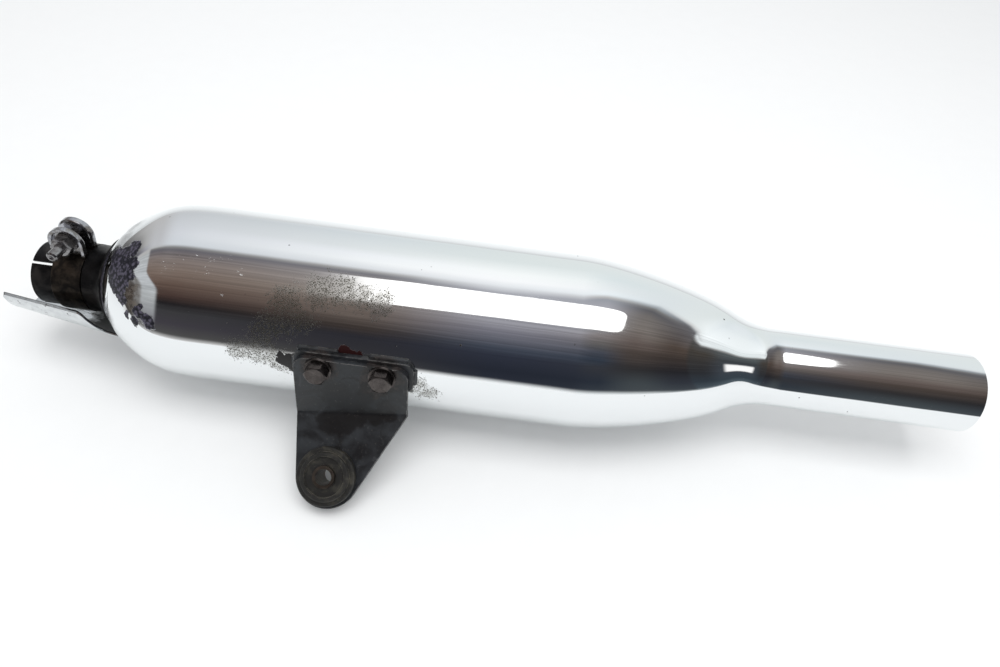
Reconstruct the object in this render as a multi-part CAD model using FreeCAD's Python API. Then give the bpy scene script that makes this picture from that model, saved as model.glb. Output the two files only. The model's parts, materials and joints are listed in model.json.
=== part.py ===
import FreeCAD, Part
import math
import os

# Motorcycle exhaust muffler lying on a bench, in millimetres.
# Origin: on the muffler axis, in the plane of the inlet mouth.
# +X runs along the axis to the tail, +Z is up, and the hanger bracket faces -Y.
# Elevations are degrees above the horizontal on the -Y side, seen along the axis.

V = FreeCAD.Vector
ORIGIN = V(0, 0, 0)
AXIS = V(1, 0, 0)

# ---- driving dimensions: outer shell ------------------------------------
WALL = 1.5
DOME_START = 44.5
BODY_START = 104.0
BODY_END = 310.0
TAIL_START = 430.0
TAIL_END = 544.0
DOME_FRONT_RADIUS = 26.2
BODY_RADIUS = 50.8
TAIL_FRONT_RADIUS = 22.75
TAIL_RADIUS = 23.1
TAIL_LIP_FILLET = 0.6
DOME_POINTS = [(52.0, 34.6), (62.0, 41.9), (75.0, 48.0), (89.0, 50.4)]
DOME_START_SLOPE = 1.15
CONE_POINTS = [(330.0, 49.3), (350.0, 45.9), (375.0, 39.9), (397.0, 32.3), (412.0, 25.8)]
CONE_START_SLOPE = 0.0

# ---- driving dimensions: inlet ------------------------------------------
STUB_RADIUS = 18.5
STUB_BORE = 17.0
STUB_END = 66.0
SLOT_ELEVATIONS = (63.5, 153.5, 243.5, 333.5)
SLOT_WIDTH = 1.5
SLOT_END = 24.0
COLLAR_START = 29.6
COLLAR_RADIUS = 19.9
COLLAR_FLARE_START = 33.0
COLLAR_FLARE_RADIUS = 25.2
NECK_WELD_RADIUS = 1.6

# ---- driving dimensions: inlet clamp ------------------------------------
RUN_CLEARANCE = 0.05
SEAT_GAP = 0.02
BAND_START = 12.5
BAND_END = 29.0
BAND_THICKNESS = 1.5
CLAMP_BOLT_ELEVATION = 8.5
EAR_RADIUS = 9.4
EAR_CENTRE = 28.0
EAR_FOOT = 16.5
EAR_INNER_OFFSET = 2.6
EAR_PLATE = 2.0
EAR_RIM_WIDTH = 1.8
EAR_RIM_HEIGHT = 2.0
EAR_PRESS_RADIUS = 1.5
CLAMP_THREAD_RADIUS = 3.0
CLAMP_HEX = 10.0
CLAMP_HEAD = 4.0
CLAMP_NUT = 6.0
CLAMP_WASHER_RADIUS = 6.0
CLAMP_WASHER_THICKNESS = 1.2
CLAMP_BOLT_TIP = 20.0
TIP_CHAMFER = 0.8
TIP_DIMPLE_RADIUS = 1.3
TIP_DIMPLE_DEPTH = 1.2

# ---- driving dimensions: heat tongue ------------------------------------
TONGUE_ELEVATION = -39.0
TONGUE_THICKNESS = 1.2
TONGUE_TIP = -16.0
TONGUE_TIP_RADIUS = 23.4
TONGUE_TAPER = 0.157
TONGUE_TIP_HALF_WIDTH = 16.4
TONGUE_WIDE_END = 33.0
TONGUE_WIDE_HALF_WIDTH = 22.0
TONGUE_TAB_START = 42.0
TONGUE_TAB_HALF_WIDTH = 9.0
TONGUE_TAB_END = 60.0
TONGUE_TIP_CORNER = 2.0
TONGUE_BASE_CORNER = 4.0

# ---- driving dimensions: hanger stay and bracket ------------------------
HANGER_ELEVATION = 14.0
PLATE_THICKNESS = 3.0
FACE_DISTANCE = 56.0
FACE_LEFT = 162.4
FACE_RIGHT = 223.8
FACE_TOP = -7.5
FACE_CORNER = 7.0
CREASE_LEFT = 31.7
CREASE_RIGHT = 23.5
BEND_ANGLE = 42.0
BEND_RADIUS = 2.5
EYE_ALONG = -11.9
EYE_DOWN = 34.8
EYE_RADIUS = 17.8
BOLT_X = (176.0, 210.1)
BOLT_DOWN = -1.7
STAY_LEFT = 162.0
STAY_RIGHT = 226.2
STAY_TOP = -9.6
STAY_BOTTOM = 9.6
STAY_CORNER = 5.0
STAY_STITCHES = ((165.0, 184.0), (203.0, 222.0))
STAY_WELD = 1.7
HANGER_THREAD_RADIUS = 4.0
HANGER_HOLE_RADIUS = 4.4
HANGER_HEX = 11.0
HANGER_HEAD = 5.0
HANGER_TIP_DEPTH = 8.0
HANGER_WASHER_RADIUS = 7.3
HANGER_WASHER_THICKNESS = 1.6
BOSS_RADIUS = 6.0
BOSS_DEPTH = 6.6
BOSS_FLOOR = 0.8

# ---- driving dimensions: rubber bush ------------------------------------
BUSH_FRONT = 6.0
BUSH_SHOULDER = 4.2
BUSH_BACK = 6.06
BUSH_FLANGE_RADIUS = 16.3
BUSH_GROOVE_RADIUS = 12.0
BUSH_RING_RADIUS = 13.6
BUSH_RING_WIDTH = 2.6
BUSH_DISH_DEPTH = 1.2
BUSH_BORE = 6.2
BUSH_FILLET = 1.0
SLEEVE_BORE = 4.5
SLEEVE_PROUD = 0.8
SLEEVE_BACK_PROUD = 1.0

# ---- driving dimensions: inside the shell -------------------------------
LINER_RADIUS = 46.2
LINER_WALL = 0.8
LINER_START = 106.0
LINER_END = 308.0
BAFFLE_THICKNESS = 1.5
BAFFLE_FLANGE = 8.0
FRONT_BAFFLE_X = 120.0
MIDDLE_BAFFLE_X = 215.0
REAR_BAFFLE_X = 298.0
DIFFUSER_START = 50.0
DIFFUSER_END = 140.0
DIFFUSER_WALL = 1.2
DIFFUSER_HOLE_RADIUS = 2.2
DIFFUSER_HOLES_ROUND = 8
DIFFUSER_FIRST_ROW = 74.0
DIFFUSER_ROWS = 5
DIFFUSER_ROW_PITCH = 9.0
TUBE_WALL = 1.2
SIDE_TUBE_RADIUS = 8.0
SIDE_TUBE_OFFSET = 32.0
TRANSFER_ELEVATIONS = (0.0, 180.0)
TRANSFER_START = 110.0
TRANSFER_END = 250.0
RETURN_ELEVATIONS = (90.0, 270.0)
RETURN_START = 196.0
RETURN_END = 236.0
OUTLET_RADIUS = 14.0
OUTLET_START = 160.0
OUTLET_END = 538.0
BELL_LENGTH = 8.0
BELL_RADIUS = 19.0
VENT_ELEVATIONS = (45.0, 135.0, 225.0, 315.0)
VENT_RADIUS = 5.0
VENT_OFFSET = 30.0
END_RING_X = 532.0


# ---- directions and placement -------------------------------------------
def outward(elevation):
    """Unit vector square to the axis at this elevation."""
    angle = math.radians(elevation)
    return V(0, -math.cos(angle), math.sin(angle))


def carried(shape, point, along, out):
    """Carry a shape drawn with X along, Y out and Z down to its place on the muffler."""
    down = along.cross(out)
    frame = FreeCAD.Matrix(along.x, out.x, down.x, point.x,
                           along.y, out.y, down.y, point.y,
                           along.z, out.z, down.z, point.z,
                           0, 0, 0, 1)
    moved = shape.copy()
    moved.Placement = FreeCAD.Placement(frame).multiply(shape.Placement)
    return moved


def around(shape, elevation):
    """Carry a shape drawn on the axis, Y out, round to an elevation."""
    return carried(shape, ORIGIN, AXIS, outward(elevation))


# ---- drawing helpers ----------------------------------------------------
def turned(edges):
    """Solid of revolution about X of a closed outline drawn in the XZ plane."""
    face = Part.Face(Part.Wire(Part.__sortEdges__(edges)))
    return face.revolve(ORIGIN, AXIS, 360)


def lines(points):
    """Edges of a closed polygon in the XZ plane from (x, radius) pairs."""
    corners = [V(x, 0, r) for x, r in points]
    return [Part.makeLine(a, b) for a, b in zip(corners, corners[1:] + corners[:1])]


def tube(start, end, outer, inner):
    """Plain pipe on the axis."""
    return turned(lines([(start, inner), (end, inner), (end, outer), (start, outer)]))


def rod(start, end, radius):
    """Plain cylinder on the axis."""
    return Part.makeCylinder(radius, end - start, V(start, 0, 0), AXIS)


def smooth(points, start_slope, end_slope):
    """Smooth curve through (x, radius) points with given end slopes."""
    curve = Part.BSplineCurve()
    curve.interpolate(Points=[V(x, 0, r) for x, r in points],
                      InitialTangent=V(1, 0, start_slope),
                      FinalTangent=V(1, 0, end_slope))
    return curve


def pressed_wall(curve, thickness):
    """Sheet wall of even thickness turned about the axis, curve on its outside."""
    inner = Part.OffsetCurve(curve, -thickness, V(0, 1, 0)).toBSpline()
    outside, inside = curve.toShape(), inner.toShape()
    ends = [Part.makeLine(curve.value(u), inner.value(w)) for u, w in
            ((curve.FirstParameter, inner.FirstParameter),
             (curve.LastParameter, inner.LastParameter))]
    return turned([outside, inside] + ends)


def outline(points, radii):
    """Closed wire in the XZ plane through points, each corner rounded by its radius."""
    edges = []
    ends = []
    count = len(points)
    for i in range(count):
        corner = V(points[i][0], 0, points[i][1])
        before = V(points[i - 1][0], 0, points[i - 1][1]) - corner
        after = V(points[(i + 1) % count][0], 0, points[(i + 1) % count][1]) - corner
        before.normalize()
        after.normalize()
        half = before.getAngle(after) / 2
        reach = radii[i] / math.tan(half)
        first = corner + before * reach
        last = corner + after * reach
        if radii[i] > 0:
            bisector = before + after
            bisector.normalize()
            middle = corner + bisector * (radii[i] / math.sin(half) - radii[i])
            edges.append(Part.Arc(first, middle, last).toShape())
        ends.append((first, last))
    for i in range(count):
        edges.append(Part.makeLine(ends[i][1], ends[(i + 1) % count][0]))
    return Part.Wire(Part.__sortEdges__(edges))


def prism(wire, inner, outer):
    """Plate between two Y heights from a wire in the XZ plane."""
    face = Part.Face(wire)
    face.translate(V(0, inner, 0))
    return face.extrude(V(0, outer - inner, 0))


def tangent_point(px, pz, cx, cz, radius, side):
    """Point where the line from (px, pz) touches the circle, on the given side."""
    gap = math.hypot(cx - px, cz - pz)
    bearing = math.atan2(pz - cz, px - cx) + side * math.acos(radius / gap)
    return V(cx + radius * math.cos(bearing), 0, cz + radius * math.sin(bearing))


def eye_outline(left, right, base, centre_x, centre_z, radius):
    """Wire of a tapered lug: a straight base line drawn tangent to a round end."""
    start, finish = V(left, 0, base), V(right, 0, base)
    grow = 1 if centre_z > base else -1
    touch_right = tangent_point(right, base, centre_x, centre_z, radius, grow)
    touch_left = tangent_point(left, base, centre_x, centre_z, radius, -grow)
    crown = V(centre_x, 0, centre_z + grow * radius)
    edges = [Part.makeLine(start, finish), Part.makeLine(finish, touch_right),
             Part.Arc(touch_right, crown, touch_left).toShape(), Part.makeLine(touch_left, start)]
    return Part.Wire(edges)


def hexagon(across_flats, height):
    """Hexagonal prism standing on the XY plane with its top corners chamfered."""
    corner = across_flats / math.sqrt(3)
    points = [V(corner * math.cos(math.pi / 3 * i), corner * math.sin(math.pi / 3 * i), 0)
              for i in range(6)]
    block = Part.Face(Part.makePolygon(points + points[:1])).extrude(V(0, 0, height))
    flat = across_flats / 2 - TIP_CHAMFER / 2
    drop = (corner - flat) * math.tan(math.radians(30))
    cap = Part.makeCylinder(corner, height - drop)
    cap = cap.fuse(Part.makeCone(corner, flat, drop, V(0, 0, height - drop)))
    return block.common(cap)


def pointed(shape, point, direction):
    """Carry a shape drawn along +Z so that it starts at a point and runs along a direction."""
    moved = shape.copy()
    moved.Placement = FreeCAD.Placement(point, FreeCAD.Rotation(V(0, 0, 1), direction))
    return moved


def bolt_solid(across_flats, head, radius, length):
    """Hexagon bolt: underside of the head at the origin, head up, shank down."""
    shank = Part.makeCylinder(radius, length, V(0, 0, -length))
    tip = [e for e in shank.Edges if e.BoundBox.ZMax < -length / 2]
    shank = shank.makeChamfer(TIP_CHAMFER, tip)
    return hexagon(across_flats, head).fuse(shank)


def collar_ring(outer, inner, thickness):
    """Flat ring standing on the XY plane."""
    return Part.makeCylinder(outer, thickness).cut(Part.makeCylinder(inner, thickness))


# ---- outer shell --------------------------------------------------------
def dome_curve():
    points = [(DOME_START, DOME_FRONT_RADIUS)] + DOME_POINTS + [(BODY_START, BODY_RADIUS)]
    return smooth(points, DOME_START_SLOPE, 0)


def cone_curve():
    points = [(BODY_END, BODY_RADIUS)] + CONE_POINTS + [(TAIL_START, TAIL_FRONT_RADIUS)]
    return smooth(points, CONE_START_SLOPE, 0)


def dome_outside():
    """Everything inside the front dome's outer surface, to trim parts welded to it."""
    curve = dome_curve()
    edges = [curve.toShape()]
    edges += [Part.makeLine(V(BODY_START, 0, BODY_RADIUS), V(BODY_START, 0, 0)),
              Part.makeLine(V(BODY_START, 0, 0), V(DOME_START, 0, 0)),
              Part.makeLine(V(DOME_START, 0, 0), V(DOME_START, 0, DOME_FRONT_RADIUS))]
    return turned(edges)


def front_dome():
    return pressed_wall(dome_curve(), WALL)


def body_shell():
    """Straight middle of the shell, drilled for the hanger's threaded bosses."""
    return cut_for_bosses(tube(BODY_START, BODY_END, BODY_RADIUS, BODY_RADIUS - WALL))


def rear_cone():
    """Reverse cone, trimmed square where it is welded to the body."""
    return pressed_wall(cone_curve(), WALL).cut(rod(BODY_START, BODY_END, BODY_RADIUS))


def tail_pipe():
    pipe = turned(lines([(TAIL_START, TAIL_FRONT_RADIUS - WALL), (TAIL_END, TAIL_RADIUS - WALL),
                         (TAIL_END, TAIL_RADIUS), (TAIL_START, TAIL_FRONT_RADIUS)]))
    lip = [e for e in pipe.Edges if abs(e.BoundBox.XMin - TAIL_END) < TAIL_LIP_FILLET / 2]
    return pipe.makeFillet(TAIL_LIP_FILLET, lip)


# ---- inlet --------------------------------------------------------------
def inlet_stub():
    stub = tube(0, STUB_END, STUB_RADIUS, STUB_BORE)
    slot = Part.makeBox(SLOT_END + WALL, STUB_RADIUS, SLOT_WIDTH,
                        V(-WALL, STUB_BORE / 2, -SLOT_WIDTH / 2))
    return stub.cut([around(slot, e) for e in SLOT_ELEVATIONS])


def collar_curve():
    points = [(COLLAR_FLARE_START, COLLAR_RADIUS), (DOME_START, COLLAR_FLARE_RADIUS)]
    return smooth(points, 0, 1)


def neck_collar():
    """Pressed collar: a short sleeve on the stub flaring out to the dome."""
    sleeve = tube(COLLAR_START, COLLAR_FLARE_START, COLLAR_RADIUS, STUB_RADIUS)
    return sleeve.fuse(pressed_wall(collar_curve(), COLLAR_RADIUS - STUB_RADIUS)).removeSplitter()


def neck_weld(collar, dome):
    """Weld bead closing the joint between the collar and the dome."""
    bead = Part.makeTorus(COLLAR_FLARE_RADIUS, NECK_WELD_RADIUS, V(DOME_START, 0, 0), AXIS)
    return bead.cut([collar, dome])


# ---- inlet clamp, drawn with the ears toward Z and the bolt head toward Y -
def on_clamp(shape):
    """Turn a shape drawn with its bolt along -Y to the clamp's place on the stub."""
    return around(shape, CLAMP_BOLT_ELEVATION + 180)


def clamp_middle():
    return (BAND_START + BAND_END) / 2


def bolt_seat(offset):
    """Point on the clamp bolt's axis, offset toward its tip from the clamp's mid-plane."""
    tipward = outward(CLAMP_BOLT_ELEVATION)
    earward = outward(CLAMP_BOLT_ELEVATION + 90)
    return V(clamp_middle(), 0, 0) + earward * EAR_CENTRE + tipward * offset


def ear_wire(inset):
    """Outline of one ear, shrunk all round by the inset."""
    return eye_outline(BAND_START + inset, BAND_END - inset, EAR_FOOT,
                       clamp_middle(), EAR_CENTRE, EAR_RADIUS - inset)


def ear(side):
    """Pressed ear: flat plate rounded over into a rim that stands outward along its edge."""
    inner, seat = side * EAR_INNER_OFFSET, side * (EAR_INNER_OFFSET + EAR_PLATE)
    rim_top = seat + side * EAR_RIM_HEIGHT
    block = prism(ear_wire(0), inner, rim_top)
    rounded = [e for e in block.Edges if e.BoundBox.ZMax > EAR_FOOT + SEAT_GAP
               and max(abs(e.BoundBox.YMin - inner), abs(e.BoundBox.YMax - inner)) < SEAT_GAP]
    block = block.makeFillet(EAR_PRESS_RADIUS, rounded)
    return block.cut(prism(ear_wire(EAR_RIM_WIDTH), seat, rim_top))


def clamp_band():
    """Split band round the stub with two ears standing on the split."""
    bore = STUB_RADIUS + RUN_CLEARANCE
    outer = bore + BAND_THICKNESS
    band = tube(BAND_START, BAND_END, outer, bore)
    gap = Part.makeBox(BAND_END, 2 * EAR_INNER_OFFSET, outer, V(0, -EAR_INNER_OFFSET, 0))
    band = band.cut(gap).fuse([ear(1), ear(-1)])
    band = band.cut(rod(0, BAND_END + EAR_RADIUS, bore))
    hole = Part.makeCylinder(CLAMP_THREAD_RADIUS + RUN_CLEARANCE, 4 * EAR_RADIUS,
                             V(clamp_middle(), -2 * EAR_RADIUS, EAR_CENTRE), V(0, 1, 0))
    return on_clamp(band.cut(hole).removeSplitter())


def clamp_washer():
    ring = collar_ring(CLAMP_WASHER_RADIUS, CLAMP_THREAD_RADIUS + RUN_CLEARANCE,
                       CLAMP_WASHER_THICKNESS)
    seat = EAR_INNER_OFFSET + EAR_PLATE
    return pointed(ring, bolt_seat(seat), outward(CLAMP_BOLT_ELEVATION))


def clamp_nut():
    nut = hexagon(CLAMP_HEX, CLAMP_NUT)
    nut = nut.cut(Part.makeCylinder(CLAMP_THREAD_RADIUS + RUN_CLEARANCE, CLAMP_NUT))
    seat = EAR_INNER_OFFSET + EAR_PLATE + CLAMP_WASHER_THICKNESS + SEAT_GAP
    return pointed(nut, bolt_seat(seat), outward(CLAMP_BOLT_ELEVATION))


def clamp_bolt():
    """Long bolt through both ears; its tip is dimpled."""
    seat = EAR_INNER_OFFSET + EAR_PLATE + SEAT_GAP
    length = seat + CLAMP_BOLT_TIP
    bolt = bolt_solid(CLAMP_HEX, CLAMP_HEAD, CLAMP_THREAD_RADIUS, length)
    dimple = Part.makeCone(TIP_DIMPLE_RADIUS, 0, TIP_DIMPLE_DEPTH, V(0, 0, -length))
    return pointed(bolt.cut(dimple), bolt_seat(-seat), outward(CLAMP_BOLT_ELEVATION + 180))


# ---- heat tongue ---------------------------------------------------------
def tongue_radius(x):
    return TONGUE_TIP_RADIUS + TONGUE_TAPER * (x - TONGUE_TIP)


def shield_tongue():
    """Gutter-shaped guard cut from a cone, its narrow tab welded to the dome."""
    start, end = TONGUE_TIP - TONGUE_TIP_CORNER, TONGUE_TAB_END
    cone = turned(lines([(start, tongue_radius(start) - TONGUE_THICKNESS),
                         (end, tongue_radius(end) - TONGUE_THICKNESS),
                         (end, tongue_radius(end)), (start, tongue_radius(start))]))
    half = [(TONGUE_TIP, TONGUE_TIP_HALF_WIDTH), (TONGUE_WIDE_END, TONGUE_WIDE_HALF_WIDTH),
            (TONGUE_TAB_START, TONGUE_TAB_HALF_WIDTH), (TONGUE_TAB_END, TONGUE_TAB_HALF_WIDTH)]
    radii = [TONGUE_TIP_CORNER, TONGUE_BASE_CORNER, TONGUE_BASE_CORNER, 0]
    points = half + [(x, -w) for x, w in reversed(half)]
    wire = outline(points, radii + radii[::-1])
    pattern = prism(wire, 0, tongue_radius(end) + TONGUE_THICKNESS)
    return around(cone.common(pattern), TONGUE_ELEVATION).cut(dome_outside())


# ---- hanger, drawn on the bolted face: X along, Y outward, Z down ---------
def on_hanger(shape):
    """Carry a shape drawn on the hanger's bolted face to its place."""
    out = outward(HANGER_ELEVATION)
    return carried(shape, out * FACE_DISTANCE, AXIS, out)


def hanger_holes(shape, radius):
    """Drill both hanger bolt holes through a shape drawn on the bolted face."""
    reach = FACE_DISTANCE
    drills = [Part.makeCylinder(radius, reach, V(x, -reach / 2, BOLT_DOWN), V(0, 1, 0))
              for x in BOLT_X]
    return shape.cut(drills)


def at_bolts(shape, height):
    """Copies of a shape drawn along +Z, standing outward at both hanger bolts."""
    out = outward(HANGER_ELEVATION)
    down = outward(HANGER_ELEVATION - 90)
    spots = [V(x, 0, 0) + out * (FACE_DISTANCE + height) + down * BOLT_DOWN for x in BOLT_X]
    return Part.makeCompound([pointed(shape, spot, out) for spot in spots])


def crease():
    """Crease line of the bracket in its drawing: middle point, direction and length."""
    left = V(FACE_LEFT, 0, CREASE_LEFT)
    right = V(FACE_RIGHT, 0, CREASE_RIGHT)
    along = right - left
    length = along.Length
    return (left + right) * 0.5, along.normalize(), length


def bend_reach():
    """How far the bend runs from the crease line into each leaf."""
    return BEND_RADIUS * math.tan(math.radians(BEND_ANGLE) / 2)


def bend_line():
    """Ends of the line where the upper leaf meets the bend."""
    middle, along, length = crease()
    start = middle - along.cross(V(0, 1, 0)) * bend_reach()
    return start - along * (length / 2), start + along * (length / 2)


def on_lower_leaf(shape):
    """Carry a shape drawn on the lower leaf, origin mid-crease, to its place."""
    middle, along, length = crease()
    out = V(0, 1, 0)
    down = along.cross(out)
    angle = math.radians(BEND_ANGLE)
    leaf_out = out * math.cos(angle) - down * math.sin(angle)
    return on_hanger(carried(shape, middle, along, leaf_out))


def upper_leaf():
    left, right = bend_line()
    wire = outline([(left.x, left.z), (FACE_LEFT, FACE_TOP),
                    (FACE_RIGHT, FACE_TOP), (right.x, right.z)],
                   [0, FACE_CORNER, FACE_CORNER, 0])
    return on_hanger(hanger_holes(prism(wire, -PLATE_THICKNESS, 0), HANGER_HOLE_RADIUS))


def bend():
    """Curved sheet joining the two leaves."""
    left, right = bend_line()
    depth = V(0, -PLATE_THICKNESS, 0)
    face = Part.Face(Part.makePolygon([left, right, right + depth, left + depth, left]))
    pivot = left + V(0, BEND_RADIUS, 0)
    return on_hanger(face.revolve(pivot, right - left, -BEND_ANGLE))


def lower_leaf():
    half = crease()[2] / 2
    wire = eye_outline(-half, half, bend_reach(), EYE_ALONG, EYE_DOWN, EYE_RADIUS)
    leaf = prism(wire, -PLATE_THICKNESS, 0)
    hole = Part.makeCylinder(BUSH_GROOVE_RADIUS, 2 * PLATE_THICKNESS,
                             V(EYE_ALONG, -PLATE_THICKNESS * 1.5, EYE_DOWN), V(0, 1, 0))
    return on_lower_leaf(leaf.cut(hole))


def hanger_bracket():
    """Folded plate: upper leaf bolted to the stay, lower leaf holding the bush."""
    return upper_leaf().fuse([bend(), lower_leaf()])


def mounting_stay():
    """Saddle plate welded to the shell, with a flat face that the bracket bolts to."""
    wire = outline([(STAY_LEFT, STAY_TOP), (STAY_RIGHT, STAY_TOP),
                    (STAY_RIGHT, STAY_BOTTOM), (STAY_LEFT, STAY_BOTTOM)], [STAY_CORNER] * 4)
    block = prism(wire, -FACE_DISTANCE / 2, -PLATE_THICKNESS)
    return cut_for_bosses(on_hanger(block)).cut(rod(BODY_START, BODY_END, BODY_RADIUS))


def stay_welds(stay):
    """Weld beads at both ends of the saddle plate and stitched along its top edge."""
    shell = rod(BODY_START, BODY_END, BODY_RADIUS)
    start, end = STAY_TOP + STAY_CORNER, STAY_BOTTOM - STAY_CORNER
    run = on_hanger(Part.makeBox(BODY_END, FACE_DISTANCE, end - start,
                                 V(0, -FACE_DISTANCE, start)))
    beads = [Part.makeTorus(BODY_RADIUS, STAY_WELD, V(x, 0, 0), AXIS).common(run)
             for x in (STAY_LEFT, STAY_RIGHT)]
    depth = math.sqrt(BODY_RADIUS ** 2 - STAY_TOP ** 2) - FACE_DISTANCE
    for left, right in STAY_STITCHES:
        bead = Part.makeCylinder(STAY_WELD, right - left, V(left, depth, STAY_TOP), AXIS)
        ends = [Part.makeSphere(STAY_WELD, V(x, depth, STAY_TOP)) for x in (left, right)]
        beads.append(on_hanger(bead.fuse(ends)))
    return Part.makeCompound([bead.cut([shell, stay]) for bead in beads])


def boss_seat():
    """Height of a threaded boss's outer end in the hanger drawing."""
    return -PLATE_THICKNESS


def cut_for_bosses(shape):
    """Make the holes that both threaded bosses are welded into."""
    plug = Part.makeCylinder(BOSS_RADIUS, BOSS_DEPTH)
    return shape.cut(at_bolts(plug, boss_seat() - BOSS_DEPTH))


def threaded_bosses():
    """Blind threaded bosses let through the shell under the saddle plate."""
    boss = Part.makeCylinder(BOSS_RADIUS, BOSS_DEPTH)
    bore = Part.makeCylinder(HANGER_THREAD_RADIUS, BOSS_DEPTH, V(0, 0, BOSS_FLOOR))
    return at_bolts(boss.cut(bore), boss_seat() - BOSS_DEPTH)


def hanger_washers():
    ring = collar_ring(HANGER_WASHER_RADIUS, HANGER_HOLE_RADIUS, HANGER_WASHER_THICKNESS)
    return at_bolts(ring, 0)


def hanger_bolts():
    bolt = bolt_solid(HANGER_HEX, HANGER_HEAD, HANGER_THREAD_RADIUS,
                      HANGER_TIP_DEPTH + HANGER_WASHER_THICKNESS)
    return at_bolts(bolt, HANGER_WASHER_THICKNESS)


# ---- rubber bush ----------------------------------------------------------
def on_bush(shape):
    """Carry a shape turned about X, front toward +X, to the bracket's eye."""
    upright = shape.rotated(ORIGIN, V(0, 0, 1), 90)
    return on_lower_leaf(upright.translated(V(EYE_ALONG, 0, EYE_DOWN)))


def bush_rubber():
    """Grooved rubber bush that grips the edge of the bracket's eye."""
    ring_inner = BUSH_RING_RADIUS - BUSH_RING_WIDTH
    back = -PLATE_THICKNESS - BUSH_BACK
    solid = turned(lines([
        (back, BUSH_BORE), (BUSH_FRONT - BUSH_DISH_DEPTH, BUSH_BORE),
        (BUSH_FRONT - BUSH_DISH_DEPTH, ring_inner), (BUSH_FRONT, ring_inner),
        (BUSH_FRONT, BUSH_RING_RADIUS), (BUSH_SHOULDER, BUSH_RING_RADIUS),
        (BUSH_SHOULDER, BUSH_FLANGE_RADIUS), (0, BUSH_FLANGE_RADIUS),
        (0, BUSH_GROOVE_RADIUS), (-PLATE_THICKNESS, BUSH_GROOVE_RADIUS),
        (-PLATE_THICKNESS, BUSH_FLANGE_RADIUS), (back, BUSH_FLANGE_RADIUS)]))
    rims = [(BUSH_FRONT, BUSH_RING_RADIUS), (BUSH_SHOULDER, BUSH_FLANGE_RADIUS),
            (back, BUSH_FLANGE_RADIUS)]
    edges = [e for e in solid.Edges for x, radius in rims
             if abs(e.BoundBox.XMin - x) < SEAT_GAP and abs(e.BoundBox.XMax - x) < SEAT_GAP
             and abs(e.BoundBox.ZMax - radius) < SEAT_GAP]
    return on_bush(solid.makeFillet(BUSH_FILLET, edges))


def bush_sleeve():
    """Steel sleeve through the bush, turned with a small chamfer at both mouths."""
    front = BUSH_FRONT + SLEEVE_PROUD
    back = -PLATE_THICKNESS - BUSH_BACK - SLEEVE_BACK_PROUD
    return on_bush(tube(back, front, BUSH_BORE - RUN_CLEARANCE, SLEEVE_BORE))


# ---- inside the shell ------------------------------------------------------
def inner_liner():
    return tube(LINER_START, LINER_END, LINER_RADIUS, LINER_RADIUS - LINER_WALL)


def packing_wool():
    return cut_for_bosses(tube(LINER_START, LINER_END, BODY_RADIUS - WALL, LINER_RADIUS))


def side_holes(elevations, offset, radius, x):
    """Cutters for holes through a baffle, spaced round the axis."""
    drill = Part.makeCylinder(radius, 2 * BAFFLE_FLANGE, V(x - BAFFLE_FLANGE, 0, 0), AXIS)
    return [drill.translated(outward(e) * offset) for e in elevations]


def baffle(x, centre_radius):
    """Pressed disc with a flange that fits the liner and a centre hole."""
    rim = LINER_RADIUS - LINER_WALL
    disc = tube(x, x + BAFFLE_THICKNESS, rim, centre_radius)
    flange = tube(x, x + BAFFLE_FLANGE, rim, rim - BAFFLE_THICKNESS)
    return disc.fuse(flange).removeSplitter()


def front_baffle():
    plate = baffle(FRONT_BAFFLE_X, STUB_RADIUS + DIFFUSER_WALL)
    return plate.cut(side_holes(TRANSFER_ELEVATIONS, SIDE_TUBE_OFFSET, SIDE_TUBE_RADIUS,
                                FRONT_BAFFLE_X))


def middle_baffle():
    plate = baffle(MIDDLE_BAFFLE_X, OUTLET_RADIUS)
    return plate.cut(side_holes(TRANSFER_ELEVATIONS + RETURN_ELEVATIONS, SIDE_TUBE_OFFSET,
                                SIDE_TUBE_RADIUS, MIDDLE_BAFFLE_X))


def rear_baffle():
    plate = baffle(REAR_BAFFLE_X, OUTLET_RADIUS)
    return plate.cut(side_holes(VENT_ELEVATIONS, VENT_OFFSET, VENT_RADIUS, REAR_BAFFLE_X))


def inlet_diffuser():
    """Closed tube behind the stub, drilled all round in the first chamber."""
    outer = STUB_RADIUS + DIFFUSER_WALL
    body = tube(DIFFUSER_START, DIFFUSER_END, outer, STUB_RADIUS)
    body = body.fuse(rod(DIFFUSER_END - DIFFUSER_WALL, DIFFUSER_END, outer)).removeSplitter()
    drills = []
    for row in range(DIFFUSER_ROWS):
        x = DIFFUSER_FIRST_ROW + row * DIFFUSER_ROW_PITCH
        for step in range(DIFFUSER_HOLES_ROUND):
            side = outward((step + row % 2 / 2) * 360 / DIFFUSER_HOLES_ROUND)
            drills.append(Part.makeCylinder(DIFFUSER_HOLE_RADIUS, 2 * STUB_RADIUS,
                                            V(x, 0, 0), side))
    return body.cut(drills)


def side_tubes(start, end, elevations):
    pipe = tube(start, end, SIDE_TUBE_RADIUS, SIDE_TUBE_RADIUS - TUBE_WALL)
    return Part.makeCompound([pipe.translated(outward(e) * SIDE_TUBE_OFFSET)
                              for e in elevations])


def outlet_tube():
    """Centre tube with a bell mouth, running back through the tail."""
    flare = OUTLET_START + BELL_LENGTH
    bore = OUTLET_RADIUS - TUBE_WALL
    return turned(lines([(OUTLET_START, BELL_RADIUS - TUBE_WALL), (flare, bore),
                         (OUTLET_END, bore), (OUTLET_END, OUTLET_RADIUS),
                         (flare, OUTLET_RADIUS), (OUTLET_START, BELL_RADIUS)]))


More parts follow.
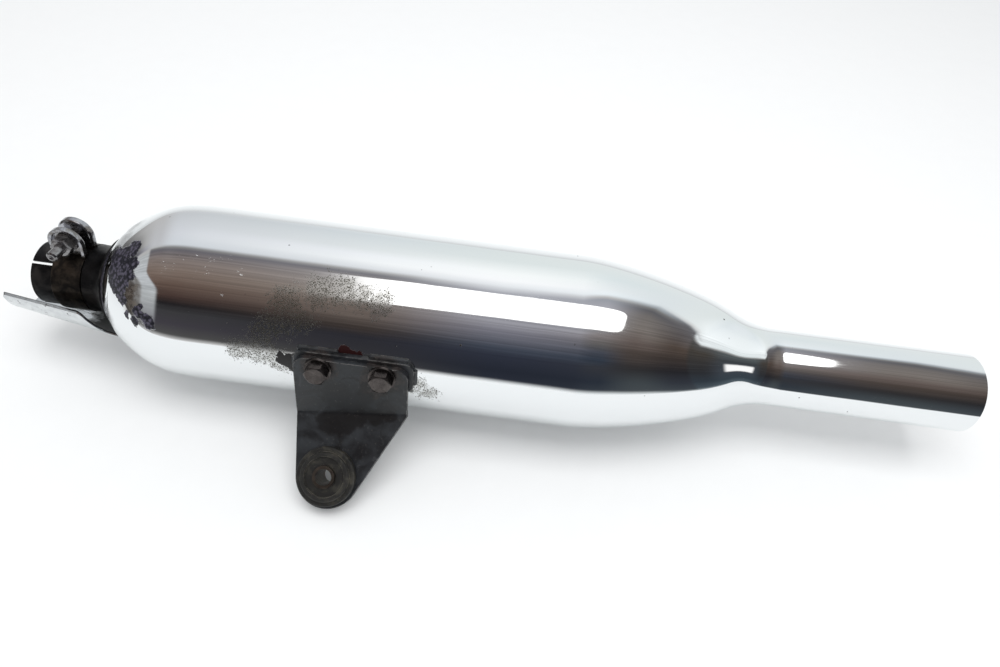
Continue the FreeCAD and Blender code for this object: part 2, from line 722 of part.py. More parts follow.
def tail_end_ring():
    """Flat ring closing the gap between the tail pipe and the centre tube."""
    def inside(x):
        slope = (TAIL_RADIUS - TAIL_FRONT_RADIUS) / (TAIL_END - TAIL_START)
        return TAIL_FRONT_RADIUS - WALL + slope * (x - TAIL_START)
    end = END_RING_X + BAFFLE_THICKNESS
    return turned(lines([(END_RING_X, OUTLET_RADIUS), (end, OUTLET_RADIUS),
                         (end, inside(end)), (END_RING_X, inside(END_RING_X))]))


# ---- write every piece ------------------------------------------------------
def pieces():
    dome = front_dome()
    collar = neck_collar()
    stay = mounting_stay()
    return {
        "front_dome": dome,
        "body_shell": body_shell(),
        "rear_cone": rear_cone(),
        "tail_pipe": tail_pipe(),
        "tail_end_ring": tail_end_ring(),
        "inlet_stub": inlet_stub(),
        "neck_collar": collar,
        "neck_weld": neck_weld(collar, dome),
        "clamp_band": clamp_band(),
        "clamp_bolt": clamp_bolt(),
        "clamp_nut": clamp_nut(),
        "clamp_washer": clamp_washer(),
        "shield_tongue": shield_tongue(),
        "mounting_stay": stay,
        "stay_welds": stay_welds(stay),
        "threaded_bosses": threaded_bosses(),
        "hanger_bracket": hanger_bracket(),
        "hanger_washers": hanger_washers(),
        "hanger_bolts": hanger_bolts(),
        "bush_rubber": bush_rubber(),
        "bush_sleeve": bush_sleeve(),
        "inner_liner": inner_liner(),
        "packing_wool": packing_wool(),
        "front_baffle": front_baffle(),
        "middle_baffle": middle_baffle(),
        "rear_baffle": rear_baffle(),
        "inlet_diffuser": inlet_diffuser(),
        "transfer_tubes": side_tubes(TRANSFER_START, TRANSFER_END, TRANSFER_ELEVATIONS),
        "return_tubes": side_tubes(RETURN_START, RETURN_END, RETURN_ELEVATIONS),
        "outlet_tube": outlet_tube(),
    }


os.makedirs("parts", exist_ok=True)
for name, shape in pieces().items():
    shape.exportStep("parts/" + name + ".step")
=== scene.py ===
import json
import math

import bpy
import numpy as np
from mathutils import Matrix, Vector

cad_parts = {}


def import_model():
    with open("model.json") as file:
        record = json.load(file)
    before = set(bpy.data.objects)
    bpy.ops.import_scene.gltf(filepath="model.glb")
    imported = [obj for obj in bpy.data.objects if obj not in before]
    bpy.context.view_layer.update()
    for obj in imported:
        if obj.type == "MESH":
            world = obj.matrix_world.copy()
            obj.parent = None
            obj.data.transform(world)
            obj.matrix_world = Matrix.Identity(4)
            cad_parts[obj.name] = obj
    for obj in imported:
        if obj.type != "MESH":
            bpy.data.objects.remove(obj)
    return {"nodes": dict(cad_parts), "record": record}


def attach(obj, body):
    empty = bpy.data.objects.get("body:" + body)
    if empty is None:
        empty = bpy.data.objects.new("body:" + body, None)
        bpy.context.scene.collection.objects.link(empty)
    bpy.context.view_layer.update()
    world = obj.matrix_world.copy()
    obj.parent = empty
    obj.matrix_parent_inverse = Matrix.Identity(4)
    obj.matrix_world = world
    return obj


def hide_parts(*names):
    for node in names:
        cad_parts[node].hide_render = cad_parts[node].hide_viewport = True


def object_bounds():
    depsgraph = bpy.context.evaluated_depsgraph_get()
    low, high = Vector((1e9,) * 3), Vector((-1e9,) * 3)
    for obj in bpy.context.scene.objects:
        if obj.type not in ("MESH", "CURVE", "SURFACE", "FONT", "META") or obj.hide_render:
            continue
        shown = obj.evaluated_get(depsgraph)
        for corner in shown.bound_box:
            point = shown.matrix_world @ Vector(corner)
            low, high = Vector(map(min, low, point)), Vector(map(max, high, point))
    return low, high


# Looks of the muffler: metres, row frame, +X to the tail, +Z up, floor under the shell.
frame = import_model()
cad_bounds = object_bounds()

MM = 0.001
FLOOR_Z = cad_bounds[0].z

# Camera: above the hanger's side, aimed square to the muffler's axis, rolled a little.
CAMERA_X = 0.2684
CAMERA_DISTANCE = 0.402
CAMERA_ELEVATION = 51.0
CAMERA_ROLL = 7.6
CAMERA_LENS = 24.34
CAMERA_SHIFT_Y = -0.0024


# ---- small tools ----------------------------------------------------------
def linear(value):
    """One 0-255 display value as a linear one."""
    v = value / 255
    return v / 12.92 if v <= 0.04045 else ((v + 0.055) / 1.055) ** 2.4


def tone(r, g, b):
    """Display colour as a linear RGBA."""
    return (linear(r), linear(g), linear(b), 1.0)


def outward(elevation):
    """Unit vector square to the axis; elevation in degrees on the -Y side."""
    a = math.radians(elevation)
    return Vector((0, -math.cos(a), math.sin(a)))


# ---- the shell's outline ----------------------------------------------------
WALL = 1.5 * MM
DOME = [(44.5, 26.2), (52.0, 34.6), (62.0, 41.9), (75.0, 48.0), (89.0, 50.4), (104.0, 50.8)]
DOME_SLOPES = (1.15, 0.0)
CONE = [(310.0, 50.8), (330.0, 49.3), (350.0, 45.9), (375.0, 39.9), (397.0, 32.3),
        (412.0, 25.8), (430.0, 22.75)]
CONE_SLOPES = (0.0, 0.0)
FLAT = (0.0, 0.0)
TAIL = [(430.0, 22.75), (544.0, 23.1)]
BODY = [(104.0, 50.8), (310.0, 50.8)]


def spline(points, slopes):
    """Clamped cubic through (x, r) points; returns the curve and its slope as functions."""
    x = np.array([p[0] for p in points])
    y = np.array([p[1] for p in points])
    n = len(x)
    h = np.diff(x)
    rise = np.diff(y) / h
    rows = np.zeros((n, n))
    right = np.zeros(n)
    rows[0, :2] = 2 * h[0], h[0]
    right[0] = 6 * (rise[0] - slopes[0])
    rows[-1, -2:] = h[-1], 2 * h[-1]
    right[-1] = 6 * (slopes[1] - rise[-1])
    for i in range(1, n - 1):
        rows[i, i - 1:i + 2] = h[i - 1], 2 * (h[i - 1] + h[i]), h[i]
        right[i] = 6 * (rise[i] - rise[i - 1])
    bend = np.linalg.solve(rows, right)

    def curve(q):
        i = np.clip(np.searchsorted(x, q) - 1, 0, n - 2)
        a, c, w = x[i + 1] - q, q - x[i], h[i]
        r = (bend[i] * a ** 3 + bend[i + 1] * c ** 3) / (6 * w)
        r += (y[i] / w - bend[i] * w / 6) * a + (y[i + 1] / w - bend[i + 1] * w / 6) * c
        slope = (bend[i + 1] * c ** 2 - bend[i] * a ** 2) / (2 * w)
        slope += (y[i + 1] - y[i]) / w - (bend[i + 1] - bend[i]) * w / 6
        return r, slope

    return curve


def shell_radius(x):
    """Outside radius of the shell at x, both in millimetres."""
    for points, slopes in ((DOME, DOME_SLOPES), (BODY, FLAT), (CONE, CONE_SLOPES)):
        if x <= points[-1][0]:
            return float(spline(points, slopes)(np.array([x]))[0][0])
    return TAIL[-1][1]


def on_shell(spots):
    """Spots as (x, elevation, reach) in mm and degrees, turned into places and reaches in metres."""
    places = []
    for x, elevation, reach in spots:
        place = Vector((x, 0, 0)) + outward(elevation) * shell_radius(x)
        places.append((tuple(place * MM), reach * MM))
    return places


# The hanger bracket's bolted face: square to this elevation, this far from the axis, in mm.
FACE_ELEVATION = 14.0
FACE_DISTANCE = 56.0


def on_face(spots):
    """Spots as (x, distance down the face, reach) in mm, turned into places and reaches in metres."""
    places = []
    for x, down, reach in spots:
        place = Vector((x, 0, 0)) + outward(FACE_ELEVATION) * FACE_DISTANCE
        place += outward(FACE_ELEVATION - 90) * down
        places.append((tuple(place * MM), reach * MM))
    return places


# ---- node trees -------------------------------------------------------------
BEVEL_SAMPLES = 6
SOLID_SHARE = 0.25  # of a spot's reach, where it is still at full strength


class Net:
    """Short calls for building a node tree. Noise and cell scales are features per metre."""

    def __init__(self, tree):
        self.tree = tree
        tree.nodes.clear()

    def node(self, kind, **settings):
        n = self.tree.nodes.new(kind)
        for key, value in settings.items():
            setattr(n, key, value)
        return n

    def put(self, socket, value):
        if isinstance(value, bpy.types.NodeSocket):
            self.tree.links.new(value, socket)
        else:
            socket.default_value = value

    def math(self, op, *inputs):
        n = self.node("ShaderNodeMath", operation=op)
        for socket, value in zip(n.inputs, inputs):
            self.put(socket, value)
        return n.outputs[0]

    def plus(self, *inputs):
        return self.math("ADD", *inputs)

    def minus(self, *inputs):
        return self.math("SUBTRACT", *inputs)

    def times(self, *inputs):
        return self.math("MULTIPLY", *inputs)

    def most(self, first, *others):
        """The largest of all the inputs."""
        for other in others:
            first = self.math("MAXIMUM", first, other)
        return first

    def power(self, *inputs):
        return self.math("POWER", *inputs)

    def from_axis(self, y, z):
        """Distance from the muffler's axis."""
        return self.math("SQRT", self.plus(self.power(y, 2.0), self.power(z, 2.0)))

    def vector(self, op, *inputs):
        n = self.node("ShaderNodeVectorMath", operation=op)
        sockets = (n.inputs[0], n.inputs["Scale"]) if op == "SCALE" else n.inputs
        for socket, value in zip(sockets, inputs):
            self.put(socket, value)
        return n.outputs[1] if op in ("LENGTH", "DISTANCE", "DOT_PRODUCT") else n.outputs[0]

    def mix(self, fac, a, b):
        n = self.node("ShaderNodeMix", data_type="RGBA")
        self.put(n.inputs[0], fac)
        self.put(n.inputs[6], a)
        self.put(n.inputs[7], b)
        return n.outputs[2]

    def lerp(self, fac, a, b):
        n = self.node("ShaderNodeMix", data_type="FLOAT")
        self.put(n.inputs[0], fac)
        self.put(n.inputs[2], a)
        self.put(n.inputs[3], b)
        return n.outputs[0]

    def step(self, value, low, high):
        """Smooth step: 0 at low, 1 at high; low may be the larger."""
        n = self.node("ShaderNodeMapRange", interpolation_type="SMOOTHSTEP")
        flip = low > high
        self.put(n.inputs[0], value)
        self.put(n.inputs[1], high if flip else low)
        self.put(n.inputs[2], low if flip else high)
        self.put(n.inputs[3], 1.0 if flip else 0.0)
        self.put(n.inputs[4], 0.0 if flip else 1.0)
        return n.outputs[0]

    def ramp(self, value, stops):
        n = self.node("ShaderNodeValToRGB")
        self.put(n.inputs[0], value)
        line = n.color_ramp
        line.elements[0].position, line.elements[0].color = stops[0]
        line.elements[1].position, line.elements[1].color = stops[-1]
        for position, colour in stops[1:-1]:
            line.elements.new(position).color = colour
        return n.outputs[0]

    def noise(self, where, scale, detail=4.0, rough=0.55, warp=0.0):
        n = self.node("ShaderNodeTexNoise")
        self.put(n.inputs["Vector"], where)
        n.inputs["Scale"].default_value = scale
        n.inputs["Detail"].default_value = detail
        n.inputs["Roughness"].default_value = rough
        n.inputs["Distortion"].default_value = warp
        return n.outputs["Fac"]

    def shaken(self, where, scale, amount, detail=5.0):
        """The position pushed about by noise, for ragged outlines."""
        n = self.node("ShaderNodeTexNoise")
        self.put(n.inputs["Vector"], where)
        n.inputs["Scale"].default_value = scale
        n.inputs["Detail"].default_value = detail
        n.inputs["Roughness"].default_value = 0.62
        push = self.vector("SUBTRACT", n.outputs["Color"], (0.5, 0.5, 0.5))
        return self.vector("ADD", where, self.vector("MULTIPLY", push, (amount, amount, amount)))

    def split(self, where):
        n = self.node("ShaderNodeSeparateXYZ")
        self.put(n.inputs[0], where)
        return n.outputs

    def edge_wear(self, radius, low, high):
        """1 on sharp edges, 0 on flats."""
        flat = self.node("ShaderNodeNewGeometry").outputs["Normal"]
        facing = self.vector("DOT_PRODUCT", self.soft_edges(radius), flat)
        return self.step(facing, high, low)

    def cells(self, where, scale):
        n = self.node("ShaderNodeTexVoronoi")
        self.put(n.inputs["Vector"], where)
        n.inputs["Scale"].default_value = scale
        return n.outputs["Distance"]

    def place(self):
        """Position in the row frame, in metres."""
        return self.node("ShaderNodeTexCoord").outputs["Object"]

    def stretch(self, where, x, y, z):
        return self.vector("MULTIPLY", where, (x, y, z))

    def near(self, where, places):
        """1 at any of the places, fading to 0 at each one's reach."""
        total = 0.0
        for place, reach in places:
            far = self.vector("DISTANCE", where, place)
            total = self.most(total, self.step(far, reach, reach * SOLID_SHARE))
        return total

    def bump(self, height, strength, distance, normal=None):
        n = self.node("ShaderNodeBump")
        self.put(n.inputs["Strength"], strength)
        self.put(n.inputs["Distance"], distance)
        self.put(n.inputs["Height"], height)
        if normal is not None:
            self.put(n.inputs["Normal"], normal)
        return n.outputs[0]

    def soft_edges(self, radius):
        n = self.node("ShaderNodeBevel", samples=BEVEL_SAMPLES)
        n.inputs["Radius"].default_value = radius
        return n.outputs[0]

    def surface(self, **inputs):
        """Principled surface with the named inputs, wired to the output."""
        n = self.node("ShaderNodeBsdfPrincipled")
        for key, value in inputs.items():
            self.put(n.inputs[key.replace("_", " ")], value)
        out = self.node("ShaderNodeOutputMaterial")
        self.tree.links.new(n.outputs[0], out.inputs[0])


def new_net(name):
    """A new material and the net of its node tree."""
    material = bpy.data.materials.new(name)
    material.use_nodes = True
    return material, Net(material.node_tree)


# ---- chrome -----------------------------------------------------------------
CHROME = (0.83, 0.835, 0.85, 1.0)
# Spots on the shell: x, elevation, reach.
DOME_STAINS = [(69, 74, 8), (64, 69, 9), (58, 70, 9), (71, 63, 7), (64, 60, 10), (58, 60, 8),
               (59, 52, 7), (67, 52, 9), (66, 45, 8), (62, 46, 7), (71, 56, 7), (68, 38, 5)]
DOME_FLECKS = [(78, 33, 6), (83, 29, 6.5), (76, 26, 5), (84, 26, 6), (71, 29, 4), (80, 36, 3)]
DOME_FILM = [(59, 102, 9), (56, 88, 10), (54, 78, 8), (54, 12, 6), (54, 19, 7)]
BROWN_HAZE = [(74, 42, 8), (74, 37, 8), (76, 48, 5)]
PITTING = [(173, 60, 16), (186, 62, 16), (194, 61, 14), (205, 58, 13), (156, 52, 15),
           (164, 42, 14), (152, 37, 15), (145, 30, 15), (132, 17, 13), (141, 17, 14),
           (149, 16, 14), (154, 11, 14), (227, 8, 13), (234, 1, 12)]
SOOT_SPOTS = [(156, 13, 6.5), (160, 9, 6), (160, 16, 5), (154, 17, 4), (164, 12, 6)]
RUST_MARK = [(188.5, 26.5, 5), (192.5, 23.5, 5.5), (196, 25, 3.5), (192, 22, 5.5)]
SCRATCHES = [(113, 71, 4), (117, 71.5, 4), (122, 73, 4), (90, 64, 4.5), (91, 61, 4), (104, 71, 4),
             (108, 61, 5), (129, 66, 5), (122, 52, 5), (98, 69, 4), (97, 64, 6), (112, 63, 7)]
NECK_BURN_X = 0.0480  # the dome is burnt all round up to here
BROWN_TONE = tone(112, 100, 86)
GREY_FILM_TONE = tone(120, 118, 120)
PIT_FILM_TONE = tone(104, 100, 84)
PIT_TONE = tone(58, 54, 42)
CRUST_TONES = (tone(92, 88, 104), tone(18, 17, 30))
CRUST_DUST_TONE = tone(92, 88, 96)
SOOT_TONE = tone(34, 32, 32)
RUST_TONE = tone(52, 20, 20)
NICK_TONE = tone(240, 242, 244)


def chrome_stains(net, where, ragged, fine):
    """Masks of what has grown or burnt on the chrome, each 0 to 1."""
    # Each mask is a set of spots with a ragged rim: the position is shaken and noise is added.
    blotch = net.near(net.shaken(where, 170, 0.007, 4.0), on_shell(DOME_STAINS))
    blotch = net.plus(blotch, net.times(net.noise(where, 430, 5, 0.65), 0.9))
    fleck = net.near(net.shaken(where, 300, 0.005, 3.0), on_shell(DOME_FLECKS))
    fleck = net.plus(fleck, net.times(net.noise(where, 520, 4, 0.6), 1.1))
    burnt = net.most(net.step(blotch, 0.86, 1.00), net.step(fleck, 1.12, 1.26))
    along = net.split(net.shaken(where, 240, 0.006))[0]
    burnt = net.most(burnt, net.step(along, NECK_BURN_X + 0.0015, NECK_BURN_X))

    # Pitting: clusters of fine specks, thick in the middle and thin at the rim.
    zone = net.near(net.shaken(where, 90, 0.014), on_shell(PITTING))
    speck = net.step(net.cells(where, 1500), 0.54, 0.34)
    chance = net.noise(where, 520, 4, 0.65)
    chance = net.step(net.plus(chance, net.times(zone, 0.30)), 0.66, 0.74)
    pits = net.times(speck, net.times(chance, net.step(zone, 0.02, 0.2)))
    film = net.times(net.step(net.times(zone, ragged), 0.26, 0.60), 0.42)
    grey = net.times(net.near(net.shaken(where, 160, 0.008), on_shell(DOME_FILM)), 0.55)

    # Lone black dots all over, and soot by the bracket.
    dots = net.step(net.cells(where, 110), 0.075, 0.045)
    dots = net.times(dots, net.step(net.noise(where, 60, 2), 0.52, 0.60))
    soot_and_shade = net.plus(net.near(net.shaken(where, 260, 0.006, 4.0), on_shell(SOOT_SPOTS)),
                    net.times(net.noise(where, 700, 4, 0.6), 0.7))
    soot_and_shade = net.most(net.step(soot_and_shade, 0.84, 0.98), dots)
    haze = net.near(net.shaken(where, 200, 0.008), on_shell(BROWN_HAZE))
    haze = net.times(haze, net.step(ragged, 0.25, 0.55))
    rust = net.near(net.shaken(where, 350, 0.004), on_shell(RUST_MARK))
    scratched = net.near(net.shaken(where, 150, 0.004), on_shell(SCRATCHES))
    nick = net.noise(net.stretch(where, 500, 1500, 1500), 1.0, 3, 0.6, 0.6)
    nicks = net.times(scratched, net.step(nick, 0.61, 0.71))
    return burnt, pits, film, grey, soot_and_shade, haze, net.step(rust, 0.22, 0.45), nicks


def chrome_material():
    """Stained, pitted and wiped chrome; marks are rougher and less metallic than the plating."""
    material, net = new_net("polished_chrome")
    where = net.place()
    ragged = net.noise(where, 300, 6, 0.65, 0.4)
    fine = net.noise(where, 1500, 5, 0.6)
    burnt, pits, film, grey, soot_and_shade, haze, rust, nicks = chrome_stains(net, where, ragged, fine)

    colour = net.mix(net.times(haze, 0.85), CHROME, BROWN_TONE)
    colour = net.mix(grey, colour, GREY_FILM_TONE)
    colour = net.mix(film, colour, PIT_FILM_TONE)
    colour = net.mix(pits, colour, PIT_TONE)
    cell = net.step(net.cells(net.shaken(where, 400, 0.003), 480), 0.22, 0.62)
    crust = net.mix(cell, *CRUST_TONES)
    colour = net.mix(burnt, colour, net.mix(net.step(fine, 0.56, 0.70), crust, CRUST_DUST_TONE))
    colour = net.mix(soot_and_shade, colour, SOOT_TONE)
    colour = net.mix(rust, colour, RUST_TONE)
    colour = net.mix(nicks, colour, NICK_TONE)
    dull = net.most(burnt, pits, rust, soot_and_shade)

    # Wiped smears and hairline scratches, run mostly along the shell.
    smear = net.noise(net.stretch(where, 14, 60, 60), 1.0, 5, 0.6, 0.4)
    hair = net.noise(net.stretch(where, 40, 2600, 2600), 1.0, 2, 0.5)
    cross = net.noise(net.stretch(where, 1900, 60, 60), 1.0, 2, 0.5, 0.2)
    lines = net.most(net.step(hair, 0.64, 0.80), net.step(cross, 0.68, 0.82))
    rough = net.lerp(net.step(smear, 0.35, 0.75), 0.025, 0.070)
    rough = net.plus(rough, net.times(lines, 0.06))
    rough = net.plus(rough, net.times(net.most(film, grey), 0.4))
    rough = net.lerp(net.most(dull, nicks), rough, 0.42)

    wave = net.noise(where, 16, 2, 0.4)
    normal = net.bump(wave, 0.22, 0.0016)
    normal = net.bump(lines, 0.05, 0.00003, normal)
    crusted = net.most(burnt, soot_and_shade)
    normal = net.bump(net.times(crusted, fine), 0.5, 0.00010, normal)
    shed = net.most(dull, nicks, net.times(haze, 0.7))
    # The metal look gives way only where the colour is already dark, or marks get pale rims.
    metallic = net.lerp(net.step(shed, 0.45, 1.0), 1.0, 0.35)
    net.surface(Base_Color=colour, Metallic=metallic, Roughness=rough, Normal=normal)
    return material


# Painted shade: the tongue's inner face darkens toward its base, ending near this X.
TONGUE_SHADE_X = 0.028
TONGUE_TIP_X = -0.016
TONGUE_TIP_RADIUS = 0.0234
TONGUE_TAPER = 0.157
TONGUE_HALF_WALL = 0.0006
TONGUE_TONES = ((0.58, 0.59, 0.61, 1.0), (0.70, 0.71, 0.72, 1.0))
TONGUE_MARK_TONE = tone(120, 118, 120)
TONGUE_RIM_TONE = tone(70, 68, 70)
# Near black of the painted shade on the tongue's inner face.
TONGUE_SHADE_TONE = tone(9, 9, 10)


def tongue_material():
    """Dull chrome with dents and dark pits; the face toward the stub is darkened at its base as
    painted shade.
    """
    material, net = new_net("tongue_chrome")
    where = net.place()
    x, y, z = net.split(where)
    ragged = net.noise(where, 200, 6, 0.65, 0.4)
    fine = net.noise(where, 1500, 4, 0.6)
    # The inner face lies nearer the axis than the sheet's middle.
    radius = net.from_axis(y, z)
    middle = net.plus(net.times(net.minus(x, TONGUE_TIP_X), TONGUE_TAPER),
                      TONGUE_TIP_RADIUS - TONGUE_HALF_WALL)
    inner = net.math("LESS_THAN", radius, middle)
    # Painted shade: the inner face turns near black toward its base by the dome, where it lies in
    # shade.
    base = net.plus(x, net.times(net.minus(ragged, 0.5), 0.022))
    soot_and_shade = net.times(inner, net.step(base, TONGUE_SHADE_X - 0.012, TONGUE_SHADE_X - 0.002))
    marks = net.noise(net.stretch(where, 260, 420, 420), 1.0, 4, 0.6, 0.3)
    marks = net.times(net.step(marks, 0.60, 0.66), net.step(ragged, 0.45, 0.55))
    rim = net.edge_wear(0.0009, 0.72, 0.97)
    colour = net.mix(net.step(ragged, 0.35, 0.7), *TONGUE_TONES)
    colour = net.mix(net.times(marks, 0.8), colour, TONGUE_MARK_TONE)
    colour = net.mix(net.times(rim, 0.6), colour, TONGUE_RIM_TONE)
    colour = net.mix(soot_and_shade, colour, TONGUE_SHADE_TONE)
    rough = net.lerp(soot_and_shade, net.lerp(marks, 0.16, 0.5), 0.6)
    normal = net.bump(ragged, 0.35, 0.0006)
    normal = net.bump(fine, 0.2, 0.00006, normal)
    net.surface(Base_Color=colour, Metallic=net.lerp(soot_and_shade, 1.0, 0.2), Roughness=rough, Normal=normal)
    return material


# ---- other metals -------------------------------------------------------------
METAL_GRAIN = 700
METAL_EDGE = 0.0003


def metal_material(name, dark, light, rough, patina, patina_amount):
    """Worn bare metal: two tones by noise, a patina colour in patches, fine pits."""
    material, net = new_net(name)
    where = net.place()
    cloud = net.noise(where, 120, 6, 0.6, 0.3)
    fine = net.noise(where, METAL_GRAIN, 5, 0.65)
    colour = net.mix(net.step(cloud, 0.3, 0.7), dark, light)
    patch = net.step(net.noise(where, 75, 5, 0.6, 0.5), 0.46, 0.66)
    colour = net.mix(net.times(patch, patina_amount), colour, patina)
    specks = net.step(net.noise(where, METAL_GRAIN * 1.7, 3, 0.6), 0.60, 0.70)
    colour = net.mix(net.times(specks, 0.5), colour, net.mix(0.5, dark, patina))
    roughness = net.plus(rough, net.times(net.minus(fine, 0.5), 0.35))
    normal = net.bump(fine, 0.35, 0.00010, net.soft_edges(METAL_EDGE))
    normal = net.bump(cloud, 0.25, 0.0003, normal)
    metallic = net.lerp(patch, 0.95, 0.6)
    net.surface(Base_Color=colour, Metallic=metallic, Roughness=roughness, Normal=normal)
    return material


# Spots on the bracket's face: x, distance down it, reach.
BOLT_STAINS = [(176.0, -1.7, 15), (210.1, -1.7, 17), (206, 6, 12)]
FACE_SOOT = [(186, 16, 15), (194, 22, 14), (200, 14, 10), (212, 22, 9)]
# Crease spots are soot and painted shade: the lower leaf is darkest where it bends under the face.
CREASE_SOOT_AND_SHADE = [(182, 36, 13), (190, 35, 14), (198, 31, 10), (207, 28, 8), (215, 26, 6), (186, 42, 11)]

PAINT_TONES = (tone(24, 25, 28), tone(50, 53, 57))
SCUFF_TONE = tone(84, 84, 86)
PAINT_STAIN_TONE = tone(18, 17, 18)
BOLT_STAIN_TONES = (tone(24, 21, 20), tone(50, 42, 40))
FACE_SOOT_TONE = tone(20, 19, 20)
# Near black of the soot and painted shade along the crease.
CREASE_SOOT_AND_SHADE_TONE = tone(14, 12, 14)
DUST_SPECK_TONE = tone(96, 92, 88)
CHIP_TONE = tone(150, 148, 146)


def paint_material():
    """Satin black paint, greyed by dust, stained round the bolts, worn bright at the edges."""
    material, net = new_net("black_paint")
    where = net.place()
    cloud = net.noise(where, 60, 6, 0.6, 0.6)
    scuff = net.noise(net.stretch(where, 350, 350, 90), 1.0, 6, 0.7, 0.4)
    blot = net.noise(where, 210, 5, 0.65, 0.8)
    fine = net.noise(where, 1300, 4, 0.6)
    colour = net.mix(net.step(cloud, 0.32, 0.68), *PAINT_TONES)
    colour = net.mix(net.times(net.step(scuff, 0.58, 0.70), 0.35), colour, SCUFF_TONE)
    stain = net.step(net.noise(where, 105, 5, 0.65, 1.0), 0.56, 0.64)
    colour = net.mix(net.times(stain, 0.55), colour, PAINT_STAIN_TONE)
    ring = net.near(net.shaken(where, 160, 0.006), on_face(BOLT_STAINS))
    ring = net.plus(ring, net.times(blot, 0.5))
    ring = net.step(ring, 0.50, 0.85)
    brown = net.mix(net.step(blot, 0.4, 0.6), *BOLT_STAIN_TONES)
    colour = net.mix(net.times(ring, 0.8), colour, brown)
    spread = net.shaken(where, 90, 0.008)
    # Soot and painted shade along the crease; faint soot on the face.
    soot_and_shade = net.plus(net.near(spread, on_face(CREASE_SOOT_AND_SHADE)), net.times(blot, 0.4))
    faint = net.plus(net.near(spread, on_face(FACE_SOOT)), net.times(blot, 0.4))
    colour = net.mix(net.times(net.step(faint, 0.3, 1.0), 0.55), colour, FACE_SOOT_TONE)
    colour = net.mix(net.times(net.step(soot_and_shade, 0.45, 0.90), 0.85), colour, CREASE_SOOT_AND_SHADE_TONE)
    speck = net.step(net.noise(where, 620, 3, 0.6), 0.64, 0.70)
    colour = net.mix(net.times(speck, 0.30), colour, DUST_SPECK_TONE)
    chips = net.times(net.edge_wear(0.0011, 0.76, 0.97), net.step(blot, 0.42, 0.56))
    colour = net.mix(net.times(chips, 0.8), colour, CHIP_TONE)
    roughness = net.lerp(net.step(cloud, 0.3, 0.7), 0.33, 0.50)
    roughness = net.plus(roughness, net.times(net.step(scuff, 0.6, 0.72), 0.12))
    normal = net.bump(fine, 0.25, 0.00008, net.soft_edges(0.0006))
    normal = net.bump(cloud, 0.2, 0.0006, normal)
    metallic = net.lerp(chips, 0.12, 0.8)
    net.surface(Base_Color=colour, Metallic=metallic, Roughness=roughness, Normal=normal)
    return material


def rubber_material():
    """Black rubber, dusty in patches and rubbed grey on its edges."""
    material, net = new_net("bush_rubber")
    where = net.place()
    cloud = net.noise(where, 160, 6, 0.65, 0.4)
    fine = net.noise(where, 1600, 4, 0.6)
    colour = net.mix(net.step(cloud, 0.45, 0.75), tone(30, 29, 28), tone(66, 63, 55))
    colour = net.mix(net.times(net.step(fine, 0.58, 0.7), 0.4), colour, tone(92, 88, 76))
    rubbed = net.times(net.edge_wear(0.0006, 0.75, 0.98), net.step(cloud, 0.38, 0.52))
    colour = net.mix(net.times(rubbed, 0.6), colour, tone(128, 124, 112))
    normal = net.bump(fine, 0.35, 0.00012, net.soft_edges(0.0005))
    net.surface(Base_Color=colour, Metallic=0.0, Roughness=net.lerp(cloud, 0.5, 0.8), Normal=normal)
    return material


EAR_START_RADIUS = 0.0215
BAND_TONES = (tone(44, 41, 40), tone(84, 76, 68))
EAR_TONES = (tone(172, 172, 178), tone(118, 114, 112))
CLAMP_DIRT_TONE = tone(40, 34, 30)


def clamp_material():
    """Clamp band: brown and sooty round the stub, still bright on its pressed ears."""
    material, net = new_net("clamp_steel_band")
    where = net.place()
    x, y, z = net.split(where)
    cloud = net.noise(where, 150, 6, 0.6, 0.4)
    fine = net.noise(where, 900, 5, 0.65)
    radius = net.from_axis(y, z)
    radius = net.plus(radius, net.times(net.minus(cloud, 0.5), 0.006))
    ear = net.step(radius, EAR_START_RADIUS - 0.001, EAR_START_RADIUS + 0.001)
    band = net.mix(net.step(cloud, 0.35, 0.65), *BAND_TONES)
    bright = net.mix(net.step(cloud, 0.40, 0.62), *EAR_TONES)
    colour = net.mix(ear, band, bright)
    dirt = net.times(net.step(fine, 0.56, 0.66), 0.45)
    colour = net.mix(dirt, colour, CLAMP_DIRT_TONE)
    rough = net.plus(net.lerp(ear, 0.42, 0.13), net.times(dirt, 0.4))
    normal = net.bump(fine, 0.25, 0.00008, net.soft_edges(0.0005))
    net.surface(Base_Color=colour, Metallic=net.lerp(dirt, 0.98, 0.6), Roughness=rough, Normal=normal)
    return material


def wool_material():
    """Matted fibre, its strands run along the muffler."""
    material, net = new_net("packing")
    where = net.place()
    strands = net.noise(net.stretch(where, 500, 1400, 1400), 1.0, 6, 0.7, 1.2)
    colour = net.mix(net.step(strands, 0.35, 0.65), tone(132, 124, 98), tone(206, 200, 180))
    normal = net.bump(strands, 0.8, 0.0006)
    net.surface(Base_Color=colour, Roughness=0.95, Normal=normal)
    return material


